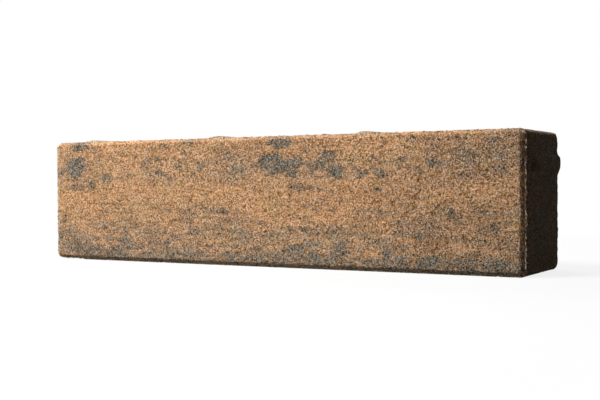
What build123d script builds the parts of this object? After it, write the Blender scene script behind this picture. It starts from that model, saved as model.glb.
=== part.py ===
"""Long bar paver of pressed concrete, standing on one long side with its wear face towards -Y.

X runs along the paver, Y from the wear face to the bed face and Z up.
The origin is the middle of the lower long side, which stands on the floor. All sizes are in millimetres.
"""

import os
from math import atan2, degrees

from build123d import *

# Laying grid and thickness
coordinating_length = 330.0
coordinating_width = 82.5
joint_width = 4.5
thickness = 60.0

# Edges of the pressed body
corner_radius = 4.0
chamfer_width = 1.9
chamfer_depth = 2.5
land_width = 0.5

# Spacer nibs, which run from the bed face and ramp down before the wear face
nib_height = 2.0
nib_base_width = 12.0
nib_top_width = 5.0
nib_edge_radius = 5.0
nib_setback = 11.0
nib_ramp_length = 4.0

# Nib places: along the upper side from the left and right ends, and down the right end from the upper side
side_nib_count = 3
left_nib_inset = 20.0
right_nib_inset = 99.0
end_nib_inset = 18.0

# Sizes that follow from these
body_length = coordinating_length - joint_width
body_width = coordinating_width - joint_width
bed_y = thickness / 2
land_height = thickness - chamfer_depth
chamfer_angle = degrees(atan2(chamfer_width, chamfer_depth))
nib_length = thickness - nib_setback
nib_flank_width = (nib_base_width - nib_top_width) / 2
nib_flank_angle = degrees(atan2(nib_height, nib_flank_width))
nib_pitch = (body_length - left_nib_inset - right_nib_inset) / (side_nib_count - 1)
towards_wear_face = (0, -1, 0)

# One nib, with X along its side, Y out of the side and Z from the bed face towards the wear face:
# its rounded section runs the whole way and is then cut to its side view, with the ramp at the far end
with BuildPart() as nib:
    with BuildSketch(Plane.XY) as section:
        Trapezoid(nib_base_width, nib_height, nib_flank_angle, align=(Align.CENTER, Align.MIN))
        fillet(section.vertices().group_by(Axis.Y)[-1], radius=nib_edge_radius)
    extrude(amount=nib_length)
    with BuildSketch(Plane.YZ):
        with BuildLine():
            Polyline(
                (0, 0),
                (nib_height, 0),
                (nib_height, nib_length - nib_ramp_length),
                (0, nib_length),
                close=True,
            )
        make_face()
    extrude(amount=nib_base_width, both=True, mode=Mode.INTERSECT)

# Nib seats on the bed face's outline: along the upper side and on the right end
end_seat = Plane(
    (body_length / 2, bed_y, body_width - end_nib_inset), x_dir=(0, 0, -1), z_dir=towards_wear_face
)
nib_seats = [end_seat]
for number in range(side_nib_count):
    side_x = left_nib_inset + number * nib_pitch - body_length / 2
    nib_seats.append(Plane((side_x, bed_y, body_width), x_dir=(1, 0, 0), z_dir=towards_wear_face))

# The paver: plain body up to the land, then the stamped wear face inside it, with its sloping chamfer
with BuildPart() as paver:
    bed_plane = Plane((0, bed_y, body_width / 2), x_dir=(1, 0, 0), z_dir=towards_wear_face)
    with BuildSketch(bed_plane):
        RectangleRounded(body_length, body_width, corner_radius)
    extrude(amount=land_height)
    with BuildSketch(bed_plane.offset(land_height)):
        RectangleRounded(body_length - 2 * land_width, body_width - 2 * land_width, corner_radius - land_width)
    extrude(amount=chamfer_depth, taper=chamfer_angle)
    with Locations(*nib_seats):
        add(nib.part)

paver.part.label = "paver"
os.makedirs("parts", exist_ok=True)
export_step(paver.part, "parts/paver.step")
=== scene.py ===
"""Long bar paver of pressed, colour-mixed concrete, and the stage that it stands on.

The file is laid out as a Blender add-on and is run as a script. One operator presses the paver's skin over
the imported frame, another sets the stage, and a panel in the 3D view's sidebar lists both with what can be
changed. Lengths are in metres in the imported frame: X along the paver, Y from the wear face to the bed face
and Z up.
"""

from math import pi, radians

import bpy
import numpy as np
from bpy.props import FloatProperty, FloatVectorProperty, PointerProperty
from mathutils import Matrix, Vector


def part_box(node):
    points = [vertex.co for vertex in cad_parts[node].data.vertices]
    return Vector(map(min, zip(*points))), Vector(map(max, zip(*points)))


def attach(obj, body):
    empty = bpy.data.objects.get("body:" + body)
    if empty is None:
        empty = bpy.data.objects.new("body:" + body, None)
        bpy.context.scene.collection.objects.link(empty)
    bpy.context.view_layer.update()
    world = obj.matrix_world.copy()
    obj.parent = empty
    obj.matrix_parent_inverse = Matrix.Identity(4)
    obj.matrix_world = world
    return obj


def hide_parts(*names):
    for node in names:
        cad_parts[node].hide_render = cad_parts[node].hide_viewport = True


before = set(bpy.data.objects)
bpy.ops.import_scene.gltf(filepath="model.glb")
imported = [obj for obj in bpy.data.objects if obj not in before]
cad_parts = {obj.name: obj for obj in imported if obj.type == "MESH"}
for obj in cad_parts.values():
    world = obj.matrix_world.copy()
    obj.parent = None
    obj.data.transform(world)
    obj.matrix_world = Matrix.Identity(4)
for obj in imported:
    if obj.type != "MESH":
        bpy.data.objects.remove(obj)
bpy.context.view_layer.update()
PAVER_LOW, PAVER_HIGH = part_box("paver")

bl_info = {
    "name": "Concrete Bar Paver",
    "version": (1, 0, 0),
    "blender": (4, 5, 0),
    "location": "3D View > Sidebar > Paver",
    "description": "Presses a bar paver of colour-mixed concrete over its frame and sets a pale stage",
    "category": "Object",
}

MM = 0.001
NIB_HEIGHT = 2 * MM
SIDE_NIB_COUNT = 3

# Slate-grey stains in the face mix, placed in millimetres:
# from the left end, up from the lower side, half length, half height, and how dense each is
GREY_STAINS = (
    (22, 75.5, 10, 4.5, 0.75),
    (18.5, 62, 10.5, 7, 1.0),
    (22, 66, 6, 3, 0.8),
    (4, 58.5, 5, 3, 0.7),
    (20, 48, 6, 2.2, 0.5),
    (31, 49, 5, 2.5, 0.55),
    (45.5, 54, 5.5, 2.8, 0.55),
    (52, 65.5, 2, 2, 0.6),
    (57, 69.5, 4.5, 1.8, 0.4),
    (67, 68, 1.5, 1.5, 0.5),
    (77, 64.5, 7, 3.5, 0.45),
    (88, 66, 2, 2.2, 0.65),
    (89, 57, 6, 2.2, 0.7),
    (80.5, 57.5, 3.5, 1.6, 0.45),
    (96.5, 53.5, 4, 2.2, 0.65),
    (93, 73.5, 3.5, 3, 0.5),
    (110.5, 75, 5, 3, 0.5),
    (105, 62.5, 6, 4.5, 0.4),
    (122, 61, 4, 3.5, 0.65),
    (116, 55.5, 3, 2, 0.55),
    (139.5, 67.5, 7.5, 5, 0.35),
    (145, 72.5, 2.5, 1.6, 0.45),
    (148, 57, 8, 3.5, 0.5),
    (162, 72, 7, 1.8, 0.4),
    (161, 61, 4, 2, 0.5),
    (172.5, 62, 10.5, 7.5, 1.0),
    (187, 61, 7, 5, 0.95),
    (187, 55, 4, 2.5, 0.85),
    (177, 74.5, 10, 4, 0.85),
    (195, 69, 2, 2.5, 0.5),
    (210.5, 66.5, 5, 3, 0.75),
    (203, 60.5, 8, 4, 0.75),
    (215, 57.5, 5.5, 4.5, 0.95),
    (219.5, 68, 1.6, 2, 0.6),
    (213, 72.5, 1.5, 1.5, 0.45),
    (225.5, 63, 3, 2, 0.6),
    (227, 58.5, 4, 2.5, 0.45),
    (231.5, 55.5, 4, 2.5, 0.7),
    (243, 56, 6, 3, 0.65),
    (240, 64.5, 2, 1.5, 0.5),
    (245.5, 72.5, 2.5, 2.5, 0.45),
    (242.5, 46, 2.8, 2.2, 0.7),
    (263.5, 48, 4, 1.2, 0.5),
    (268, 55, 2.5, 2.2, 0.7),
    (274.5, 60, 4.5, 3.5, 0.6),
    (263, 74, 5, 3, 0.4),
    (256, 61, 4, 4, 0.45),
    (291, 64.5, 8.5, 6, 0.4),
    (291, 72, 2.5, 1.8, 0.5),
    (293, 54.5, 7.5, 1.8, 0.55),
    (306, 63, 3, 2.5, 0.45),
    (312, 64.5, 4, 1.5, 0.75),
    (312.5, 58.5, 5, 3, 0.5),
    (308, 72, 4, 2, 0.4),
    (195.5, 47.5, 15, 1.8, 0.6),
    (204, 35, 3.5, 2.5, 0.5),
    (138.5, 33, 3, 3, 0.6),
    (125, 33.5, 10, 3.5, 0.25),
    (285.5, 33, 2.5, 2.5, 0.7),
    (302, 34, 4, 2, 0.5),
    (242.5, 33.5, 3, 1.5, 0.5),
    (310, 26, 3.5, 3.5, 0.5),
    (6.5, 26, 4, 2.5, 0.7),
    (4.5, 15, 3, 4, 0.75),
    (14.5, 23, 2.5, 1.5, 0.55),
    (41, 23.5, 5.5, 1.5, 0.6),
    (50, 20.5, 2.5, 1.5, 0.5),
    (62.5, 19.5, 5, 2.5, 0.5),
    (46, 15.5, 4, 2, 0.55),
    (60, 14, 6, 3, 0.55),
    (76, 20, 10, 4, 0.35),
    (93.5, 12, 2.5, 4, 0.95),
    (98, 7, 5, 3, 0.65),
    (16, 9, 18, 5, 0.5),
    (17, 18, 8, 3, 0.3),
    (33.5, 8, 6, 3, 0.5),
    (51.5, 6, 10, 3, 0.5),
    (114, 22, 3.5, 3.5, 0.6),
    (117, 19, 6, 4, 0.3),
    (133, 21, 5, 2, 0.4),
    (148, 21, 9, 4, 0.3),
    (114, 7, 11, 3, 0.55),
    (140.5, 5.5, 6, 2.5, 0.5),
    (160.5, 11, 5.5, 3, 0.65),
    (173, 19.5, 4, 1.3, 0.75),
    (182.5, 24, 5, 1.6, 0.55),
    (180, 17, 2.5, 1.6, 0.5),
    (194.5, 23.3, 4.5, 1.6, 0.8),
    (202.5, 20.5, 3, 1.3, 0.7),
    (212.5, 21.5, 5, 2.2, 0.6),
    (200, 15, 6, 3, 0.6),
    (185.5, 10.5, 9, 3, 0.65),
    (203, 6.5, 9.5, 4, 0.65),
    (217, 13, 6, 5, 0.5),
    (234, 21, 9, 4, 0.35),
    (246.5, 10.5, 3.5, 4.5, 0.8),
    (253.5, 7.5, 6, 3.5, 0.55),
    (266, 20, 3.5, 4, 0.65),
    (272, 7, 7.5, 3.5, 0.6),
    (290.5, 6, 5, 2.5, 0.5),
    (312.5, 7, 3.5, 3, 0.6),
    # These three long rows run along the foot of the face and make it darker towards the bottom
    (72, 3, 74, 9, 0.5),
    (195, 3, 62, 9, 0.5),
    (288, 3.5, 50, 8, 0.55),
    (200, 58, 28, 8, 0.3),
    (20, 52, 20, 8, 0.25),
)

# Broad clouds of the two ground pigments, placed the same way: orange where positive, brown where negative
GROUND_CLOUDS = (
    (17, 35, 22, 11, 0.35),
    (64, 73.5, 50, 6, 0.1),
    (62, 45, 28, 8, 0.15),
    (101.5, 40, 7, 14, 0.2),
    (135, 44, 28, 6, 0.35),
    (163, 38, 11, 9, 0.25),
    (194, 29.5, 28, 8, 0.25),
    (221.5, 40, 9, 13, 0.1),
    (239, 70.5, 26, 6, 0.3),
    (56, 62, 22, 10, 0.12),
    (293, 44, 20, 6, 0.15),
    (143, 62, 28, 11, -0.15),
    (126, 32, 20, 8, -0.1),
    (293, 62.5, 26, 12, -0.08),
    (300, 71, 14, 5, -0.2),
    (291, 28, 34, 14, -0.1),
    (320, 70, 16, 14, -0.25),
    (320, 9, 14, 16, -0.25),
)

# Chance patterns of the skin and of the mix: the size of their cells and the seed of their random draws
PATTERNS = {
    "grains": (1.9 * MM, 1),
    "waves": (9 * MM, 2),
    "pores": (2.6 * MM, 3),
    "long_nibbles": (3.2 * MM, 4),
    "short_nibbles": (1.7 * MM, 5),
    "edge_grains": (1.1 * MM, 6),
    "broad_warp_across": (5 * MM, 11),
    "broad_warp_up": (5 * MM, 12),
    "fine_warp_across": (1.4 * MM, 13),
    "fine_warp_up": (1.4 * MM, 14),
    "stain_breaks": (2.4 * MM, 15),
    "streaks": (1.7 * MM, 16),
    "ground": (12 * MM, 21),
    "film": (5 * MM, 22),
    "whole_land": (1.4 * MM, 23),
    "ochre": (8 * MM, 24),
    "hidden_stains": (11 * MM, 25),
    "hidden_ground": (16 * MM, 26),
}

# Values of a pattern's noise at which its patches start and are full
PATCH_BORDERS = {
    "pores": (0.74, 0.9),
    "long_nibbles": (0.35, 0.85),
    "short_nibbles": (0.4, 0.8),
    "whole_land": (0.45, 0.62),
    "ochre": (0.5, 0.85),
    "hidden_stains": (0.55, 0.85),
}

# Grid of the skin: the face's cells come in fours, so that the bed, with half as many, has an even number.
# Then the rows of the chamfer, those of the fine skirt behind it, and the skirt's depth in face spacings
CELL_STEP = 4
CHAMFER_ROWS = 5
SKIRT_ROWS = 4
SKIRT_SPACINGS = 5

# Least radius of an inset corner, the angle past which an edge is sharp, and the gap on the flat sheet
LEAST_RADIUS = 1 * MM
SHARP_ANGLE = radians(33)
SHEET_GAP = 3 * MM

# How far a vertex may be from a plane that it lies in, how far wear reaches from the rim and the edges,
# how far the painted highlight reaches from the left rim, and how near an end the land counts as the end's
# own
PLANE_TOLERANCE = 0.01 * MM
RIM_REACH = 1.6 * MM
FACE_REACH = 0.8 * MM
LAND_REACH = 1.3 * MM
BED_REACH = 2.5 * MM
LEFT_RIM_HIGHLIGHT_REACH = 2.4 * MM
END_STRIP = 0.3 * MM

# Broken stretch of the lower edge: where it runs out to the right, upwards, and back from the wear face
BREAK_END = 1.5 * MM
BREAK_RISE = 2.4 * MM
BREAK_FADE = (12 * MM, 5 * MM)

# Unit normals: the longest part of an edge's, the longest Y part of the land's outer edge's,
# and the shortest sideways part that is brought to full length
EDGE_NORMAL = 0.95
LAND_EDGE_NORMAL = 0.8
LEAST_SIDEWAYS = 0.1

# How many times the outline's lift raises the bed's edges, and how much of the edge grains they have
BED_EDGE_LIFT = 2
BED_GRAIN_SHARE = 0.5

# Where the mix changes on the face, in millimetres across and up: where a change starts and is whole
RIGHT_PART = (196, 308)
LOW_PART = (40, 16)
STREAKED_PART = (44, 30)
HAZE_BAND_FOOT = (46, 56)
HAZE_BAND_TOP = (70, 62)

# The same back from the wear face, in metres
HIDDEN_PART = (4 * MM, 14 * MM)
FILMED_PART = (2 * MM, 9 * MM)

# Stains: how far noise warps them in millimetres, where in its ellipse one starts and is whole,
# how fast covers add up, the least and the spread of what noise leaves of them, and their share behind
WARP_REACH = 2.5
ELLIPSE_FADE = (1.25, 0.45)
STAIN_POWER = 1.25
STAIN_LEAST = 0.55
STAIN_SPREAD = 0.7
HIDDEN_STAIN = 0.8

# Ground: its even mix, what it loses low on the face, what it loses to the right as painted shade, and its
# clouds by chance
EVEN_MIX = 0.62
BROWNER_LOW = 0.08
# Painted shade: the ground goes browner to the right, where the light falls off
BROWNER_RIGHT_PAINTED_SHADE = 0.13
CHANCE_GROUND = 0.25

# Streaks: how they are drawn out along the paver, their least share, and their part in ground and stains
STREAK_STRETCH = (0.2, 1, 1)
STREAK_LEAST = 0.4
STREAK_GROUND = 0.75
STREAK_STAIN = 0.5

# Film, haze, ochre, laitance on the land and a painted highlight by the left rim, as shares of the mix
FILM_FULL = 1.3
FILM_LEAST = 0.22
FILM_SPREAD = 0.4
HAZE_LOW = 0.6
HAZE_BAND = 0.4
HAZE_LOST_RIGHT = 0.7
OCHRE_FULL = 0.25
LAND_LAITANCE = 0.3
# Painted highlight: the wear face's left rim is paled as if it caught the light from the left
LEFT_RIM_PAINTED_HIGHLIGHT = 0.35

# Grains, by their random numbers and the distance from their middles, both from 0 to 1:
# where batches meet, quartz starts, sand stops being dark, the painted shade of the seams starts and is
# whole, and pores end. Shares: quartz left in a stain, painted shade of a pore, what is brighter of each
# contrast, and strength of relief
BATCH_BORDER = (0.05, 0.95)
QUARTZ_START = 0.6
QUARTZ_IN_STAIN = 0.8
DARK_SAND = 0.5
SEAM_BAND = (0.4, 0.85)
PORE_BORDER = 0.03
PORE_PAINTED_SHADE = 0.5
BRIGHT_SAND = 1 / 3
BRIGHT_GRIT = 1 / 4
BUMP_STRENGTH = 0.7

# Camera back, in millimetres as lenses are, and the nearest thing that it sees
SENSOR_WIDTH = 36
NEAREST_SEEN = 0.01


def linear(code):
    """Linear red, green and blue of an sRGB hex code such as "#8A6F57", by the standard sRGB curve."""
    shares = np.array([int(code[place:place + 2], 16) for place in (1, 3, 5)]) / 255
    return tuple(np.where(shares <= 0.04045, shares / 12.92, ((shares + 0.055) / 1.055) ** 2.4))


def length(label, meaning, size):
    """A length in metres that a user may change."""
    return FloatProperty(name=label, description=meaning, default=size, min=0, precision=5, unit="LENGTH")


def share(label, meaning, value):
    """A share from 0 to 1 that a user may change."""
    return FloatProperty(name=label, description=meaning, default=value, min=0, max=1, subtype="FACTOR")


def colour(label, meaning, code):
    """A colour, given as an sRGB hex code, that a user may change."""
    return FloatVectorProperty(
        name=label, description=meaning, default=linear(code), min=0, max=1, subtype="COLOR"
    )


def standing_place(label, meaning, place):
    """A place in metres that a user may change."""
    return FloatVectorProperty(name=label, description=meaning, default=place, precision=4, unit="LENGTH")


def angle(label, meaning, degrees):
    """An angle, given in degrees, that a user may change."""
    return FloatProperty(name=label, description=meaning, default=radians(degrees), unit="ROTATION")


def power(label, meaning, watts):
    """A lamp's power in watts that a user may change."""
    return FloatProperty(name=label, description=meaning, default=watts, min=0, unit="POWER")


class PaverForm(bpy.types.PropertyGroup):
    """Sizes of the pressed body, its edges, its spacer nibs and its skin"""

    body_length: length(
        "Body length", "Length without the end's nib", PAVER_HIGH.x - PAVER_LOW.x - NIB_HEIGHT
    )
    body_width: length(
        "Body width", "Width without the side's nibs", PAVER_HIGH.z - PAVER_LOW.z - NIB_HEIGHT
    )
    thickness: length("Thickness", "From the wear face to the bed face", PAVER_HIGH.y - PAVER_LOW.y)
    corner_radius: length("Corner radius", "Radius of the four long corners", 4 * MM)
    chamfer_width: length("Chamfer width", "Width of the chamfer in the wear face's plane", 1.9 * MM)
    chamfer_depth: length("Chamfer depth", "Depth of the chamfer behind the wear face", 2.5 * MM)
    land_width: length("Land width", "Width of the ledge at the chamfer's foot", 0.5 * MM)
    stamp_left: length("Stamp left", "How far to the left the stamp pressed the wear face", 0.4 * MM)
    stamp_rise: length("Stamp rise", "How far up the stamp pressed the wear face", 0.4 * MM)
    nib_height: length("Nib height", "How far a nib stands out of its side", NIB_HEIGHT)
    nib_base_width: length("Nib base width", "Width of a nib where it leaves its side", 12 * MM)
    nib_setback: length("Nib setback", "From the wear face to the start of a nib", 11 * MM)
    nib_ramp_length: length("Nib ramp", "Length of the ramp at a nib's start", 4 * MM)
    left_nib_inset: length("Left nib inset", "First nib of the upper side, from the left end", 20 * MM)
    right_nib_inset: length("Right nib inset", "Last nib of the upper side, from the right end", 99 * MM)
    end_nib_inset: length("End nib inset", "Nib of the right end, from the upper side", 18 * MM)
    face_spacing: length("Face spacing", "Spacing of the skin's vertices on the wear face", 0.71 * MM)
    grain_depth: length("Grain depth", "Depth of the seams between grains", 0.12 * MM)
    wave_depth: length("Wave depth", "Depth of the broad unevenness", 0.12 * MM)
    pit_depth: length("Pit depth", "Depth of the scattered open pores", 0.35 * MM)
    edge_grain_reach: length(
        "Edge grain reach", "How far grains stand out of or are lost from the edges", 0.7 * MM
    )
    rim_wear: length("Rim wear", "How far the wear face's rim is worn round", 0.08 * MM)
    chip_depth: length("Chip depth", "How far the edges are nibbled away", 0.15 * MM)
    break_length: length("Break length", "Stretch of the lower edge that is chipped away", 23 * MM)
    break_depth: length("Break depth", "How high the lower edge is chipped away", 0.75 * MM)
    outline_lift: length(
        "Outline lift", "Mean depth of the roughness, given back to the outline", 0.28 * MM
    )


class PaverFinish(bpy.types.PropertyGroup):
    """Pigments and grain of the concrete"""

    tan: colour("Tan", "Orange-tan ground of the face mix", "#CC945F")
    brown: colour("Brown", "Brown ground of the face mix", "#8A6846")
    ochre: colour("Ochre", "Yellow haze in the ground of the face mix", "#B0905A")
    stain: colour("Stain", "Slate-grey stains of the face mix", "#5E5649")
    film: colour("Film", "Cement film that the mould leaves on the sides", "#AC9B84")
    # The same pale colour is the painted highlight by the wear face's left rim
    laitance_and_highlight: colour("Laitance", "Pale cement skin on the land", "#E8DECC")
    quartz: colour("Quartz", "Clear pale grains in the sand", "#EFE7DA")
    sand_size: length("Sand size", "Width of a sand grain", 0.46 * MM)
    grit_size: length("Grit size", "Width of a grain of grit", 1.1 * MM)
    sand_contrast: share("Sand contrast", "How much darker the darkest sand grains are", 0.9)
    # Painted shade in the seams between grains of grit
    seam_shade_contrast: share("Seam contrast", "How much darker the seams between grains of grit are", 0.2)
    quartz_share: share("Quartz share", "How much of its own colour a quartz grain shows", 0.38)
    lean: share("Lean", "How far grains lean to one batch or another where batches meet", 0.14)
    # Each pore of a lost grain gets painted shade
    pore_share: share("Pore share", "How many grains of grit are lost and leave a dark pore", 0.05)
    bump_depth: length("Bump depth", "Height of the sand grains", 0.25 * MM)


class PaverStage(bpy.types.PropertyGroup):
    """Camera, lights and floor"""

    camera_place: standing_place(
        "Camera place", "Where the camera stands", (323.661 * MM, -541.188 * MM, 50.543 * MM)
    )
    camera_turn: angle("Camera turn", "Turn to the left from the wear face's normal", 29.9899)
    camera_tilt: angle("Camera tilt", "Tilt below the horizon", 0.998)
    camera_roll: angle("Camera roll", "Roll about the line of sight", -0.3522)
    lens: FloatProperty(
        name="Lens", description="Focal length in millimetres", default=60.734, unit="CAMERA"
    )
    key_place: standing_place(
        "Key place", "Middle of the soft box above and in front", (-0.27, -0.40, 0.71)
    )
    key_size: length("Key size", "Side of the square soft box above and in front", 0.35)
    key_power: power("Key power", "Power of the soft box above and in front", 8.65)
    low_place: standing_place(
        "Low place", "Middle of the small soft box close to the floor in front", (-0.18, -0.85, 0.075)
    )
    low_size: length("Low size", "Side of the small soft box close to the floor", 0.13)
    low_power: power("Low power", "Power of the small soft box close to the floor", 2.3)
    back_place: standing_place("Back place", "Middle of the soft box behind the paver", (-0.7, 0.75, 0.6))
    back_size: length("Back size", "Side of the square soft box behind the paver", 0.7)
    back_power: power("Back power", "Power of the soft box behind the paver", 12)
    paper: colour("Paper", "White backdrop paper, as lit by the lamps", "#F3F3F3")
    fill: share("Fill", "Brightness of the room all round", 0.012)
    floor_tone: share("Floor tone", "How much of the light the floor sends back", 0.02)
    shadow_share: share("Shadow share", "How much of the floor's brightness the shadow can take", 0.15)
    floor_reach: length("Floor reach", "From the middle to the floor's edges", 12)
    shadow_reach: length("Shadow reach", "How far from the paver shadows are shown", 0.5)


def smooth_step(start, end, values):
    """Change from 0 at start to 1 at end, level at both: 3t² - 2t³ with t the share of the way. The end may
    be less than the start."""
    t = np.clip((values - start) / (end - start), 0, 1)
    return t * t * (3 - 2 * t)


def cloud_noise(points, pattern):
    """Smooth noise from 0 to 1: seeded random values on a cubic lattice, blended from the eight round each
    point."""
    cell, seed = PATTERNS[pattern]
    spots = (points - points.min(axis=0)) / cell
    home = np.floor(spots).astype(int)
    blend = smooth_step(0, 1, spots - home)
    lattice = np.random.default_rng(seed).random(home.max(axis=0) + 2)
    total = np.zeros(len(points))
    for corner in np.ndindex(2, 2, 2):
        weight = np.where(corner, blend, 1 - blend).prod(axis=1)
        total += weight * lattice[tuple((home + corner).T)]
    return total


def patches(points, pattern):
    """Patches by chance, 1 inside, 0 outside and soft at their borders: a smooth step of the noise."""
    return smooth_step(*PATCH_BORDERS[pattern], cloud_noise(points, pattern))


def grain_noise(points, pattern):
    """Rounded grains, 1 on top and 0 in the seams: one less the squared distance, in cells, to the nearest
    of the seeded grain centres, of which each cell of a cubic lattice holds one."""
    cell, seed = PATTERNS[pattern]
    spots = (points - points.min(axis=0)) / cell + 1
    home = np.floor(spots).astype(int)
    centres = np.random.default_rng(seed).random((*(home.max(axis=0) + 3), 3))
    nearest = np.full(len(points), np.inf)
    for step in np.ndindex(3, 3, 3):
        cells = home + step - np.ones(3, int)
        away = cells + centres[tuple(cells.T)] - spots
        nearest = np.minimum(nearest, (away * away).sum(axis=1))
    return np.clip(1 - nearest, 0, 1)


def square_grid(columns, rows):
    """Places from -1 to 1 across and up a square, evenly spaced, with one more each way than the grid has
    cells."""
    return np.meshgrid(np.linspace(-1, 1, columns + 1), np.linspace(-1, 1, rows + 1))


def edge_walk(grid):
    """A grid's edge values once round: along the bottom, up the right, back along the top and down."""
    return np.concatenate([grid[0, :-1], grid[:-1, -1], grid[-1, :0:-1], grid[:0:-1, 0]])


def press_points(form, across, up, inset, depth):
    """Points of the plain body at an inset from its sides and a depth behind the wear face.

    A place on the square is stretched to the body's rectangle less the inset. Within a corner radius of two
    sides, at (u, v) of that corner's own unit square, it moves to u√(1 - v²/2), v√(1 - u²/2), which makes
    the square's two outer edges one quarter of a circle. The stamp's shift is whole at the wear face and
    none at the land.
    """
    half_length = form.body_length / 2 - inset
    half_width = form.body_width / 2 - inset
    radius = np.maximum(form.corner_radius - inset, LEAST_RADIUS)
    x = across * half_length
    z = up * half_width
    u = np.clip(1 - (half_length - np.abs(x)) / radius, 0, 1)
    v = np.clip(1 - (half_width - np.abs(z)) / radius, 0, 1)
    x = x - np.sign(x) * radius * u * (1 - np.sqrt(1 - v * v / 2))
    z = z - np.sign(z) * radius * v * (1 - np.sqrt(1 - u * u / 2))
    stamped = np.clip(1 - depth / form.chamfer_depth, 0, 1)
    x = x - form.stamp_left * stamped
    height = z + form.body_width / 2 + form.stamp_rise * stamped
    return np.stack(np.broadcast_arrays(x, PAVER_LOW.y + depth, height), axis=-1).reshape(-1, 3)


def grid_quads(numbers):
    """Quads of a grid of vertex numbers, counter-clockwise with columns to the right and rows up."""
    corners = (numbers[:-1, :-1], numbers[:-1, 1:], numbers[1:, 1:], numbers[1:, :-1])
    return np.stack(corners, axis=-1).reshape(-1, 4)


def band_quads(rings):
    """Quads between closed rings of vertex numbers, one ring to a row, facing out."""
    return grid_quads(np.hstack([rings, rings[:, :1]]))[:, ::-1]


def halving_strip(fine, coarse):
    """Triangles from one closed ring to the next, which has half as many vertices: three to each coarse
    step."""
    first, middle = fine[0::2], fine[1::2]
    last, far = np.roll(first, -1), np.roll(coarse, -1)
    corner_sets = ((first, coarse, middle), (middle, coarse, far), (middle, far, last))
    return np.concatenate([np.stack(corners, axis=-1) for corners in corner_sets])


def plain_body(form):
    """The body without nibs: points, quads and triangles of one closed skin.

    The wear face is a fine grid. From its edge the profile of chamfer, land and side is carried round the
    body, at first as finely as the face, and then, past a strip that halves them, at twice the spacing, as
    on the bed.
    """
    spacing = form.face_spacing
    columns = CELL_STEP * round(form.body_length / spacing / CELL_STEP)
    rows = CELL_STEP * round(form.body_width / spacing / CELL_STEP)
    face_inset = form.chamfer_width + form.land_width
    skirt_depth = form.chamfer_depth + SKIRT_SPACINGS * spacing

    # Profile from the face's edge: down the chamfer, out across the land and along the side
    chamfer_steps = np.linspace(0, 1, CHAMFER_ROWS + 1)[1:]
    skirt_steps = np.linspace(form.chamfer_depth, skirt_depth, SKIRT_ROWS + 1)[1:]
    inset = np.concatenate([face_inset - form.chamfer_width * chamfer_steps, [0], 0 * skirt_steps])[:, None]
    depth = np.concatenate([form.chamfer_depth * chamfer_steps, [form.chamfer_depth], skirt_steps])[:, None]
    side_rows = round((form.thickness - skirt_depth) / (2 * spacing))
    side_depth = np.linspace(skirt_depth, form.thickness, side_rows + 1)[1:-1, None]

    fine = square_grid(columns, rows)
    coarse = square_grid(columns // 2, rows // 2)
    fine_edge = [edge_walk(part) for part in fine]
    coarse_edge = [edge_walk(part) for part in coarse]
    blocks = (
        press_points(form, *fine, face_inset, 0),
        press_points(form, *fine_edge, inset, depth),
        press_points(form, *coarse_edge, 0, side_depth),
        press_points(form, *coarse, 0, form.thickness),
    )
    starts = np.cumsum([0] + [len(block) for block in blocks])
    numbers = [np.arange(start, end) for start, end in zip(starts, starts[1:])]
    face = numbers[0].reshape(rows + 1, columns + 1)
    bed = numbers[3].reshape(rows // 2 + 1, columns // 2 + 1)
    fine_rings = np.vstack([edge_walk(face), numbers[1].reshape(len(inset), -1)])
    coarse_rings = np.vstack([numbers[2].reshape(len(side_depth), -1), edge_walk(bed)])
    quad_groups = (
        grid_quads(face),
        band_quads(fine_rings),
        band_quads(coarse_rings),
        grid_quads(bed)[:, ::-1],
    )
    strip = halving_strip(fine_rings[-1], coarse_rings[0])
    return np.concatenate(blocks), np.concatenate(quad_groups), strip


def raise_nibs(form, points):
    """Pushes the spacer nibs out of the upper side and the right end, each as high as the lesser of its
    section and its ramp.

    The section is an arc over the nib's base: √(R² - a²) - (R - h) at a from the nib's middle, with h its
    height and R = (b²/4 + h²) / 2h for a base of b. The ramp rises evenly from the nib's start.
    """
    half_length = form.body_length / 2
    last_place = form.body_length - form.right_nib_inset
    side_places = np.linspace(form.left_nib_inset, last_place, SIDE_NIB_COUNT) - half_length
    height = form.nib_height
    radius = (form.nib_base_width**2 / 4 + height**2) / (2 * height)
    depth = points[:, 1] - PAVER_LOW.y
    ramp = height * np.clip((depth - form.nib_setback) / form.nib_ramp_length, 0, 1)

    # Each seat: the axis that the nib stands out along, its side's place on it, the axis along the side,
    # and the nib's place on that
    seats = [(2, form.body_width, 0, place) for place in side_places]
    seats.append((0, half_length, 2, form.body_width - form.end_nib_inset))
    lifted = points.copy()
    for out, side, along, place in seats:
        on_side = np.isclose(points[:, out], side, atol=PLANE_TOLERANCE)
        away = np.minimum(np.abs(points[:, along] - place), form.nib_base_width / 2)
        section = np.sqrt(radius**2 - away**2) - (radius - height)
        lifted[:, out] += np.where(on_side, np.minimum(section, ramp), 0)
    return lifted


def vertex_normals(points, *face_groups):
    """Unit normals: the cross product of each face's diagonals, added up at the face's vertices."""
    total = np.zeros_like(points)
    for faces in face_groups:
        corners = points[faces]
        cross = np.cross(corners[:, 2] - corners[:, 0], corners[:, -1] - corners[:, 1])
        np.add.at(total, faces, cross[:, None])
    return total / np.linalg.norm(total, axis=1, keepdims=True)


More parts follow.
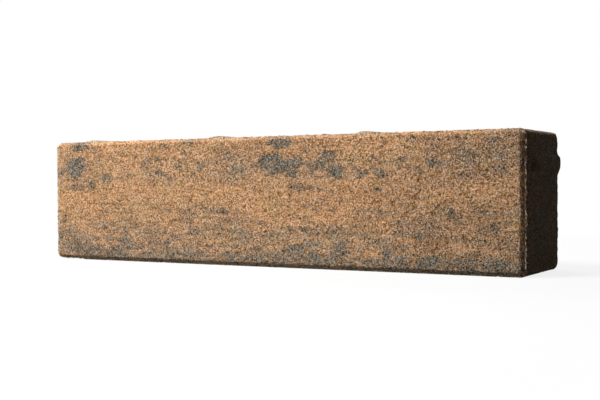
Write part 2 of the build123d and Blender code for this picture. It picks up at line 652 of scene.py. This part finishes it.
def roughen(form, points, normals):
    """Roughens the skin along its normals, within the frame's box.

    Seams between grains, broad waves, scattered pores and nibbled edges each sink it by a noise times their
    depth, and the wear face's rim is worn round. The sides are raised by the mean of that, so that the
    outline keeps its place. At the edges, grains stand out or are lost sideways, by a noise from -1 to 1
    times their reach. Where the land is worn away, its outer edge drops back until the chamfer's slope
    runs on to the side, and the lower edge is chipped away along a stretch from the left end.
    """
    half_length = form.body_length / 2
    half_width = form.body_width / 2
    face_inset = form.chamfer_width + form.land_width
    depth = points[:, 1] - PAVER_LOW.y

    # How near each vertex is to the wear face's rim, to the face, to the land and to the bed, from 0 to 1
    from_ends = half_length - face_inset - np.abs(points[:, 0] + form.stamp_left)
    from_sides = half_width - face_inset - np.abs(points[:, 2] - half_width - form.stamp_rise)
    on_face = depth < PLANE_TOLERANCE
    near_rim = on_face * smooth_step(RIM_REACH, 0, np.minimum(from_ends, from_sides))
    near_face = smooth_step(FACE_REACH, 0, depth)
    near_land = smooth_step(LAND_REACH, 0, np.abs(depth - form.chamfer_depth))
    near_bed = smooth_step(BED_REACH, 0, form.thickness - depth)
    on_edge = np.abs(normals).max(axis=1) < EDGE_NORMAL

    # What sinks the skin, and what raises its sides and the bed's edges
    nibbles = patches(points, "long_nibbles") + patches(points, "short_nibbles")
    chips = nibbles * np.maximum(near_land, near_bed * on_edge)
    sink = form.grain_depth * (1 - grain_noise(points, "grains"))
    sink = sink + form.wave_depth * cloud_noise(points, "waves") + form.pit_depth * patches(points, "pores")
    sink = sink + form.chip_depth * chips + form.rim_wear * near_rim
    lift = np.where(on_edge & (near_bed > 0), BED_EDGE_LIFT, 1 - np.abs(normals[:, 1]))
    moved = normals * (form.outline_lift * lift - sink)[:, None]

    # Grains at the edges
    sideways = normals * (1, 0, 1)
    sideways = sideways / np.maximum(np.linalg.norm(sideways, axis=1, keepdims=True), LEAST_SIDEWAYS)
    near_edge = np.maximum(near_face, np.maximum(near_land, BED_GRAIN_SHARE * near_bed))
    edge_grains = on_edge * near_edge * (2 * cloud_noise(points, "edge_grains") - 1)
    moved = moved + sideways * (form.edge_grain_reach * edge_grains)[:, None]

    # The land's outer edge, and the broken stretch of the lower edge
    on_land = np.isclose(depth, form.chamfer_depth, atol=PLANE_TOLERANCE)
    on_land_edge = on_land & (np.abs(normals[:, 1]) < LAND_EDGE_NORMAL)
    land_drop = form.land_width * form.chamfer_depth / form.chamfer_width
    moved[:, 1] += land_drop * on_land_edge * (1 - patches(points, "whole_land"))
    in_break = smooth_step(form.break_length, form.break_length - BREAK_END, points[:, 0] + half_length)
    broken = in_break * smooth_step(BREAK_RISE, 0, points[:, 2]) * smooth_step(*BREAK_FADE, depth)
    moved[:, 2] += form.break_depth * broken
    return np.clip(points + moved, PAVER_LOW, PAVER_HIGH)


def face_places(form, points):
    """Places across and up the face, in millimetres, warped by a broad and a fine noise from -1/2 to 1/2
    times their reach, so that the listed ellipses get ragged edges."""
    across = (points[:, 0] + form.body_length / 2) / MM
    up = points[:, 2] / MM
    for scale in ("broad", "fine"):
        across = across + WARP_REACH * (cloud_noise(points, scale + "_warp_across") - 0.5)
        up = up + WARP_REACH * (cloud_noise(points, scale + "_warp_up") - 0.5)
    return across, up


def cloud_cover(rows, across, up):
    """Each row's cover at places in millimetres: a smooth step, by the distance from its middle in half
    lengths and half heights, from 0 a little beyond its ellipse to 1 well inside it."""
    x, z, half_length, half_height, _ = np.array(rows).T
    reach = np.hypot((across[:, None] - x) / half_length, (up[:, None] - z) / half_height)
    return smooth_step(*ELLIPSE_FADE, reach)


def batch_shares(points, across, up, depth):
    """Shares of the stains and of the orange ground. The ground's is from 0 to 1, and a stain's may pass 1,
    which counts as full.

    Stains cover each other as inks do, 1 - (Π(1 - density × cover))^p, and noise breaks them up. Ground
    clouds add up round an even mix, which is browner low on the face, and browner to the right as painted
    shade where the light falls off. The press draws both batches out along the paver in streaks of noise,
    most of all low on the face. Behind the face they lie as chance has it.
    """
    density = np.array(GREY_STAINS)[:, -1]
    stain = 1 - np.prod(1 - density * cloud_cover(GREY_STAINS, across, up), axis=1) ** STAIN_POWER
    stain = stain * (STAIN_LEAST + STAIN_SPREAD * cloud_noise(points, "stain_breaks"))
    strength = np.array(GROUND_CLOUDS)[:, -1]
    ground = EVEN_MIX + (strength * cloud_cover(GROUND_CLOUDS, across, up)).sum(axis=1)
    ground = ground - BROWNER_LOW * smooth_step(*LOW_PART, up)
    # Painted shade of the light falling off to the right
    ground = ground - BROWNER_RIGHT_PAINTED_SHADE * smooth_step(*RIGHT_PART, across)
    ground = ground + CHANCE_GROUND * (cloud_noise(points, "ground") - 0.5)

    streaked = STREAK_LEAST + (1 - STREAK_LEAST) * smooth_step(*STREAKED_PART, up)
    streaks = streaked * (cloud_noise(points * STREAK_STRETCH, "streaks") - 0.5)
    ground = ground + STREAK_GROUND * streaks
    stain = stain + STREAK_STAIN * np.maximum(-streaks, 0) * (1 - stain)

    hidden = smooth_step(*HIDDEN_PART, depth)
    stain = stain + hidden * (HIDDEN_STAIN * patches(points, "hidden_stains") - stain)
    ground = ground + hidden * (cloud_noise(points, "hidden_ground") - ground)
    return stain, np.clip(ground, 0, 1)


def film_share(points, across, up, depth):
    """Share of the cement film, a noise times the greater of two: its reach on the sides, which starts a
    little behind the wear face, and a haze low on the face and in a band above its middle, which fades to
    the right."""
    band = smooth_step(*HAZE_BAND_FOOT, up) * smooth_step(*HAZE_BAND_TOP, up)
    haze = HAZE_LOW * smooth_step(*LOW_PART, up) + HAZE_BAND * band
    haze = haze * (1 - HAZE_LOST_RIGHT * smooth_step(*RIGHT_PART, across))
    reach = np.maximum(FILM_FULL * smooth_step(*FILMED_PART, depth), haze)
    return reach * (FILM_LEAST + FILM_SPREAD * cloud_noise(points, "film"))


def laitance_and_highlight_share(form, points, depth):
    """Share of the pale colour: as a cement skin, whole on what is left of the land at the ends and thin on
    the rest of the land, and as a thin painted highlight by the wear face's left rim."""
    half_length = form.body_length / 2
    on_land = np.isclose(depth, form.chamfer_depth, atol=PLANE_TOLERANCE) * patches(points, "whole_land")
    at_ends = np.abs(points[:, 0]) > half_length - END_STRIP
    from_left_rim = points[:, 0] + half_length - form.chamfer_width - form.land_width + form.stamp_left
    # Painted highlight by the wear face's left rim
    painted_highlight_by_left_rim = (depth < form.chamfer_depth / 2) * smooth_step(LEFT_RIM_HIGHLIGHT_REACH, 0, from_left_rim)
    return on_land * np.where(at_ends, 1, LAND_LAITANCE) + LEFT_RIM_PAINTED_HIGHLIGHT * painted_highlight_by_left_rim


def pigments(form, points):
    """Shares of the pigments at each vertex, by attribute name, each from its own function or patches."""
    depth = points[:, 1] - PAVER_LOW.y
    across, up = face_places(form, points)
    stain, ground = batch_shares(points, across, up, depth)
    return {
        "stain": stain,
        "ground": ground,
        "ochre": OCHRE_FULL * patches(points, "ochre"),
        "film": film_share(points, across, up, depth),
        "laitance_and_highlight": laitance_and_highlight_share(form, points, depth),
    }


def box_unwrap(points, *face_groups):
    """Flat places, from 0 to 1, of every face's corners on one square sheet: each face is seen straight on
    along the axis it mostly faces, and the six views lie in five rows, the two ends side by side."""
    low = points.min(axis=0)
    size = points.max(axis=0) - low
    view_across = np.array([1, 0, 0])
    view_up = np.array([2, 2, 1])
    row_height = np.array([size[2], size[2], size[1], size[1], size[2]]) + SHEET_GAP
    row_start = np.cumsum(row_height) - row_height
    sheet = row_height.sum()

    # Corner of each view on the sheet, by axis and then by facing down or up the axis
    across_start = np.array([[0, size[1] + SHEET_GAP], [0, 0], [0, 0]])
    up_start = row_start[np.array([[4, 4], [0, 1], [2, 3]])]
    places = []
    for faces in face_groups:
        corners = points[faces]
        facing = np.cross(corners[:, 2] - corners[:, 0], corners[:, -1] - corners[:, 1])
        axis = np.abs(facing).argmax(axis=1)
        upward = (np.take_along_axis(facing, axis[:, None], axis=1)[:, 0] > 0).astype(int)
        from_low = corners - low
        across = np.take_along_axis(from_low, view_across[axis][:, None, None], axis=2)[..., 0]
        up = np.take_along_axis(from_low, view_up[axis][:, None, None], axis=2)[..., 0]
        across = across + across_start[axis, upward][:, None]
        up = up + up_start[axis, upward][:, None]
        places.append(np.stack([across, up], axis=-1).reshape(-1, 2))
    return (np.concatenate(places) + SHEET_GAP / 2) / sheet


def skin_mesh(name, points, quads, triangles, shares, flat_places):
    """A mesh of quads and then triangles, smooth but for its sharp edges, with its pigment shares and flat
    places."""
    mesh = bpy.data.meshes.new(name)
    mesh.from_pydata(points.tolist(), [], quads.tolist() + triangles.tolist())
    mesh.shade_smooth()
    mesh.set_sharp_from_angle(angle=SHARP_ANGLE)
    for attribute_name, values in shares.items():
        attribute = mesh.attributes.new(attribute_name, "FLOAT", "POINT")
        attribute.data.foreach_set("value", values.astype(np.float32))
    flat = mesh.uv_layers.new(name="OFBake")
    flat.data.foreach_set("uv", flat_places.astype(np.float32).ravel())
    mesh.validate()
    return mesh


def add_node(tree, kind, inputs=None, **settings):
    """A node with its settings. Each input, by name or number, takes a value or an output to feed it."""
    node = tree.nodes.new(kind)
    for name, value in settings.items():
        setattr(node, name, value)
    for key, value in (inputs or {}).items():
        if isinstance(value, bpy.types.NodeSocket):
            tree.links.new(value, node.inputs[key])
        else:
            node.inputs[key].default_value = value
    return node


def pressed_concrete(finish):
    """Concrete pressed from a damp, sandy mix of tan, brown and grey batches.

    To the eye it is matt and close-grained: every sand grain catches the light by itself, seams between
    grains and the pores of lost grains get painted shade, and the batches lie in clouds, streaks and stains
    whose borders follow the grains. The mould leaves a grey film on the sides, and a pale skin on the land;
    the same pale colour by the wear face's left rim is a painted highlight.
    """
    material = bpy.data.materials.new("pressed_colour_mix_concrete")
    material.use_nodes = True
    tree = material.node_tree
    tree.nodes.clear()
    place = add_node(tree, "ShaderNodeTexCoord").outputs["Object"]
    smooth = {"interpolation_type": "SMOOTHSTEP"}

    # Sand and grit, each grain with random numbers of its own, drawn just coarse enough for sand to show
    sand = add_node(tree, "ShaderNodeTexVoronoi", {"Vector": place, "Scale": 1 / finish.sand_size})
    grit = add_node(tree, "ShaderNodeTexVoronoi", {"Vector": place, "Scale": 1 / finish.grit_size})
    sand_random = add_node(tree, "ShaderNodeSeparateColor", {0: sand.outputs["Color"]}).outputs
    grit_random = add_node(tree, "ShaderNodeSeparateColor", {0: grit.outputs["Color"]}).outputs

    # Each grain leans to one batch or another
    leans = []
    for chance in (sand_random[0], grit_random[0]):
        limits = {"Value": chance, "To Min": -finish.lean, "To Max": finish.lean}
        leans.append(add_node(tree, "ShaderNodeMapRange", limits, **smooth).outputs[0])
    lean = add_node(tree, "ShaderNodeMath", {0: leans[0], 1: leans[1]}, operation="ADD").outputs[0]

    # What each pigment covers: ground, stain and film meet grain by grain, by the share and the lean
    cover = {}
    for name in ("ground", "ochre", "stain", "film", "laitance_and_highlight"):
        cover[name] = add_node(tree, "ShaderNodeAttribute", attribute_name=name).outputs["Fac"]
    for name in ("ground", "stain", "film"):
        leaning = add_node(tree, "ShaderNodeMath", {0: cover[name], 1: lean}, operation="ADD").outputs[0]
        limits = {"Value": leaning, "From Min": BATCH_BORDER[0], "From Max": BATCH_BORDER[1]}
        cover[name] = add_node(tree, "ShaderNodeMapRange", limits, **smooth).outputs[0]

    # The brightest sand grains are quartz, which shows a little less in a stain
    limits = {"Value": sand_random[1], "From Min": QUARTZ_START, "To Max": finish.quartz_share}
    quartz = add_node(tree, "ShaderNodeMapRange", limits, **smooth).outputs[0]
    limits = {"Value": cover["stain"], "To Min": 1.0, "To Max": QUARTZ_IN_STAIN}
    clear = add_node(tree, "ShaderNodeMapRange", limits, **smooth).outputs[0]
    shown = add_node(tree, "ShaderNodeMath", {0: quartz, 1: clear}, operation="MULTIPLY")
    cover["quartz"] = shown.outputs[0]

    # Each pigment over the ones before it
    mix = (*finish.brown, 1)
    for name, pigment in (
        ("ground", finish.tan),
        ("ochre", finish.ochre),
        ("stain", finish.stain),
        ("film", finish.film),
        ("laitance_and_highlight", finish.laitance_and_highlight),
        ("quartz", finish.quartz),
    ):
        layers = {0: cover[name], 6: mix, 7: (*pigment, 1)}
        mix = add_node(tree, "ShaderNodeMix", layers, data_type="RGBA").outputs[2]

    # Tones: sand is darker or brighter than its batch at random, and seams between grains of grit and the
    # pores of lost grit get painted shade, the grit's middles a little lighter
    bright_sand = 1 + finish.sand_contrast * BRIGHT_SAND
    bright_grit = 1 + finish.seam_shade_contrast * BRIGHT_GRIT
    pore_end = finish.pore_share + PORE_BORDER
    tone = 1.0
    for value, start, end, low, high in (
        (sand_random[1], 0, DARK_SAND, 1 - finish.sand_contrast, bright_sand),
        # Painted shade in the seams between grains of grit, which are lighter in their middles
        (grit.outputs["Distance"], *SEAM_BAND, bright_grit, 1 - finish.seam_shade_contrast),
        # Painted shade in the pores of lost grit
        (grit_random[1], finish.pore_share, pore_end, PORE_PAINTED_SHADE, 1),
    ):
        limits = {"Value": value, "From Min": start, "From Max": end, "To Min": low, "To Max": high}
        part = add_node(tree, "ShaderNodeMapRange", limits, **smooth).outputs[0]
        tone = add_node(tree, "ShaderNodeMath", {0: tone, 1: part}, operation="MULTIPLY").outputs[0]
    grained = add_node(tree, "ShaderNodeVectorMath", {0: mix, "Scale": tone}, operation="SCALE").outputs[0]

    height = add_node(tree, "ShaderNodeMath", {0: 1.0, 1: sand.outputs["Distance"]}, operation="SUBTRACT")
    relief = {"Height": height.outputs[0], "Distance": finish.bump_depth, "Strength": BUMP_STRENGTH}
    bump = add_node(tree, "ShaderNodeBump", relief)
    surface = add_node(
        tree,
        "ShaderNodeBsdfPrincipled",
        {
            "Base Color": grained,
            "Roughness": 0.92,
            "IOR": 1.45,
            "Specular IOR Level": 0.1,
            "Normal": bump.outputs["Normal"],
        },
    )
    add_node(tree, "ShaderNodeOutputMaterial", {"Surface": surface.outputs["BSDF"]})
    return material


class PAVER_OT_press_body(bpy.types.Operator):
    """Press the paver: shape its skin, lay its pigments and put it in the frame's place"""

    bl_idname = "paver.press_body"
    bl_label = "Press Paver"
    bl_options = {"REGISTER", "UNDO"}

    def execute(self, context):
        form = context.scene.paver_form
        body, quads, triangles = plain_body(form)
        shaped = raise_nibs(form, body)
        normals = vertex_normals(shaped, quads, triangles)
        skin = roughen(form, shaped, normals)
        flat_places = box_unwrap(shaped, quads, triangles)
        mesh = skin_mesh("paver_skin", skin, quads, triangles, pigments(form, shaped), flat_places)
        mesh.materials.append(pressed_concrete(context.scene.paver_finish))
        piece = bpy.data.objects.new("paver_skin", mesh)
        context.scene.collection.objects.link(piece)
        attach(piece, "root")
        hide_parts("paver")
        return {"FINISHED"}


def shown_ray(tree):
    """1 for rays that show the background to the camera, straight on, in gloss or through glass, and 0 for
    others: the greatest of the three."""
    path = add_node(tree, "ShaderNodeLightPath")
    seen = path.outputs["Is Camera Ray"]
    for kind in ("Is Glossy Ray", "Is Transmission Ray"):
        either = add_node(tree, "ShaderNodeMath", {0: seen, 1: path.outputs[kind]}, operation="MAXIMUM")
        seen = either.outputs[0]
    return seen


def floor_paper(stage):
    """Seamless white backdrop paper: white to the camera, with the paver's shadow near it, and a dull grey
    to the light that it sends back, so that the paver's shaded sides stay as deep as in a dark room."""
    material = bpy.data.materials.new("white_backdrop_paper")
    material.use_nodes = True
    tree = material.node_tree
    tree.nodes.clear()
    place = add_node(tree, "ShaderNodeTexCoord").outputs["Object"]
    distance = add_node(tree, "ShaderNodeVectorMath", {0: place}, operation="LENGTH").outputs["Value"]
    near = add_node(
        tree,
        "ShaderNodeMapRange",
        {
            "Value": distance,
            "From Min": stage.shadow_reach / 2,
            "From Max": stage.shadow_reach,
            "To Min": stage.shadow_share,
            "To Max": 0.0,
        },
        interpolation_type="SMOOTHSTEP",
    ).outputs[0]
    lit = add_node(tree, "ShaderNodeBsdfDiffuse", {"Color": (*stage.paper, 1)}).outputs[0]
    white = add_node(tree, "ShaderNodeEmission", {"Color": (1, 1, 1, 1), "Strength": 1.0}).outputs[0]
    shown = add_node(tree, "ShaderNodeMixShader", {0: near, 1: white, 2: lit}).outputs[0]
    tone = stage.floor_tone
    dull = add_node(tree, "ShaderNodeBsdfDiffuse", {"Color": (tone, tone, tone, 1)}).outputs[0]
    surface = add_node(tree, "ShaderNodeMixShader", {0: shown_ray(tree), 1: dull, 2: shown}).outputs[0]
    add_node(tree, "ShaderNodeOutputMaterial", {"Surface": surface})
    return material


def soft_box(scene, name, place, size, watts, target):
    """A square area light at a place, turned to a target and left out of the camera's sight."""
    light = bpy.data.lights.new(name, "AREA")
    light.shape = "SQUARE"
    light.size = size
    light.energy = watts
    lamp = bpy.data.objects.new(name, light)
    lamp.location = place
    lamp.rotation_euler = (target - Vector(place)).to_track_quat("-Z", "Y").to_euler()
    lamp.visible_camera = False
    scene.collection.objects.link(lamp)


class PAVER_OT_set_stage(bpy.types.Operator):
    """Set the stage: a white floor, soft boxes above, in front and behind, a dim room and the camera"""

    bl_idname = "paver.set_stage"
    bl_label = "Set Stage"
    bl_options = {"REGISTER", "UNDO"}

    def execute(self, context):
        scene = context.scene
        stage = scene.paver_stage
        reach = stage.floor_reach
        sheet = bpy.data.meshes.new("floor")
        corners = [(-reach, -reach, 0), (reach, -reach, 0), (reach, reach, 0), (-reach, reach, 0)]
        sheet.from_pydata(corners, [], [(0, 1, 2, 3)])
        sheet.materials.append(floor_paper(stage))
        floor = bpy.data.objects.new("floor", sheet)
        scene.collection.objects.link(floor)

        middle = (PAVER_LOW + PAVER_HIGH) / 2
        soft_box(scene, "key_soft_box", stage.key_place, stage.key_size, stage.key_power, middle)
        soft_box(scene, "low_soft_box", stage.low_place, stage.low_size, stage.low_power, middle)
        soft_box(scene, "back_soft_box", stage.back_place, stage.back_size, stage.back_power, middle)

        # A room that is white where it is seen and dim in the light that it gives
        scene.world = bpy.data.worlds.new("dim_room")
        scene.world.use_nodes = True
        tree = scene.world.node_tree
        tree.nodes.clear()
        limits = {"Value": shown_ray(tree), "To Min": stage.fill, "To Max": 1.0}
        strength = add_node(tree, "ShaderNodeMapRange", limits).outputs[0]
        room = add_node(tree, "ShaderNodeBackground", {"Color": (1, 1, 1, 1), "Strength": strength})
        add_node(tree, "ShaderNodeOutputWorld", {"Surface": room.outputs[0]})

        lens = bpy.data.cameras.new("camera")
        lens.lens = stage.lens
        lens.sensor_width = SENSOR_WIDTH
        lens.clip_start = NEAREST_SEEN
        camera = bpy.data.objects.new("camera", lens)
        turn = Matrix.Rotation(stage.camera_turn, 4, "Z")
        tilt = Matrix.Rotation(pi / 2 - stage.camera_tilt, 4, "X")
        roll = Matrix.Rotation(stage.camera_roll, 4, "Z")
        camera.matrix_world = Matrix.Translation(stage.camera_place) @ turn @ tilt @ roll
        scene.collection.objects.link(camera)
        scene.camera = camera
        scene.view_settings.view_transform = "Standard"
        return {"FINISHED"}


class PAVER_PT_workshop(bpy.types.Panel):
    """Lists what the paver is made of and what makes it"""

    bl_idname = "PAVER_PT_workshop"
    bl_label = "Concrete Paver"
    bl_space_type = "VIEW_3D"
    bl_region_type = "UI"
    bl_category = "Paver"

    def draw(self, context):
        scene = context.scene
        for operator, settings in (
            (PAVER_OT_press_body, (scene.paver_form, scene.paver_finish)),
            (PAVER_OT_set_stage, (scene.paver_stage,)),
        ):
            box = self.layout.box()
            box.operator(operator.bl_idname)
            for group in settings:
                for name in group.__annotations__:
                    box.prop(group, name)


CLASSES = (PaverForm, PaverFinish, PaverStage, PAVER_OT_press_body, PAVER_OT_set_stage, PAVER_PT_workshop)


def register():
    """Registers the classes and hangs the settings on the scene."""
    for item in CLASSES:
        bpy.utils.register_class(item)
    bpy.types.Scene.paver_form = PointerProperty(type=PaverForm)
    bpy.types.Scene.paver_finish = PointerProperty(type=PaverFinish)
    bpy.types.Scene.paver_stage = PointerProperty(type=PaverStage)


def unregister():
    """Takes the settings off the scene and unregisters the classes."""
    del bpy.types.Scene.paver_stage
    del bpy.types.Scene.paver_finish
    del bpy.types.Scene.paver_form
    for item in reversed(CLASSES):
        bpy.utils.unregister_class(item)


def main():
    """Makes the paver and its stage."""
    register()
    bpy.ops.paver.press_body()
    bpy.ops.paver.set_stage()


if __name__ == "__main__":
    main()
